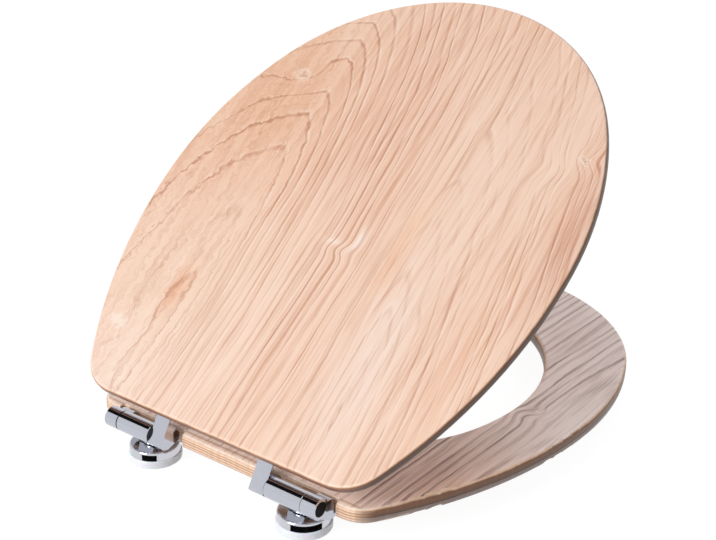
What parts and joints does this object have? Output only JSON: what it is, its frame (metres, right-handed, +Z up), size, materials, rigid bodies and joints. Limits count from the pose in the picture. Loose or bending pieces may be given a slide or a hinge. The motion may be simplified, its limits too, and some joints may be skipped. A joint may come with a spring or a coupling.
{
  "type": "toilet seat",
  "caption": "Wooden toilet seat: an egg-shaped ring and a flat lid on two metal hinges with soft-close dampers, round covered fixings and rubber buffers.",
  "frame": {"origin": "midway between the two fixing holes, on the plane of the bowl's rim", "axes": "+X along the hinge line, +Y from the hinges to the front of the seat, +Z up"},
  "size_m": [0.375, 0.4397, 0.3053],
  "materials": {
    "lid_wood": "pale veneer with a clear satin lacquer",
    "ring_wood": "pale veneer over laminated core, clear satin lacquer",
    "rosette_chrome": "mirror-bright chrome plate",
    "hinge_chrome": "chrome plate on die-cast zinc",
    "cast_plate": "bare die-cast zinc",
    "bright_steel": "turned bright steel",
    "dark_steel": "blackened steel",
    "screw_steel": "zinc-plated steel",
    "damper_plastic": "moulded nylon, black",
    "rotor_plastic": "moulded acetal, natural",
    "nylon": "moulded nylon, black",
    "washer_plastic": "soft moulded plastic, near white",
    "cap_plastic": "moulded plastic, black",
    "buffer_rubber": "soft translucent rubber"
  },
  "bodies": {
    "hinge_fixings": {"left_rosette_washer": "washer_plastic", "left_rosette": "rosette_chrome", "left_base_plate": "cast_plate", "left_post": "bright_steel", "left_hinge_barrel": "hinge_chrome", "left_grub_screw": "dark_steel", "left_damper_case": "damper_plastic", "left_damper_cap": "damper_plastic", "left_thrust_washer": "nylon", "left_pivot_pin": "bright_steel", "right_rosette_washer": "washer_plastic", "right_rosette": "rosette_chrome", "right_base_plate": "cast_plate", "right_post": "bright_steel", "right_hinge_barrel": "hinge_chrome", "right_grub_screw": "dark_steel", "right_damper_case": "damper_plastic", "right_damper_cap": "damper_plastic", "right_thrust_washer": "nylon", "right_pivot_pin": "bright_steel"},
    "ring": {"seat_ring": "ring_wood", "left_ring_arm": "hinge_chrome", "left_ring_arm_screws": "screw_steel", "left_end_cap": "cap_plastic", "right_ring_arm": "hinge_chrome", "right_ring_arm_screws": "screw_steel", "right_end_cap": "cap_plastic", "right_damper_rotor": "rotor_plastic", "left_flanged_bush": "nylon", "ring_buffer_rear_left": "buffer_rubber", "ring_buffer_front_left": "buffer_rubber", "ring_buffer_rear_right": "buffer_rubber", "ring_buffer_front_right": "buffer_rubber", "ring_buffer_screws": "screw_steel"},
    "lid": {"lid_panel": "lid_wood", "left_lid_arm": "hinge_chrome", "left_lid_arm_screws": "screw_steel", "right_lid_arm": "hinge_chrome", "right_lid_arm_screws": "screw_steel", "left_damper_rotor": "rotor_plastic", "right_flanged_bush": "nylon", "lid_buffer_side_left": "buffer_rubber", "lid_buffer_front_left": "buffer_rubber", "lid_buffer_side_right": "buffer_rubber", "lid_buffer_front_right": "buffer_rubber"}
  },
  "joints": [
    {"name": "ring_hinge", "type": "hinge", "parent": "hinge_fixings", "child": "ring", "pos_m": [0, -0.016, 0.032], "axis": [1, 0, 0], "range_deg": [0, 95]},
    {"name": "lid_hinge", "type": "hinge", "parent": "ring", "child": "lid", "pos_m": [0, -0.016, 0.032], "axis": [1, 0, 0], "range_deg": [-36.8, 63.2]}
  ]
}
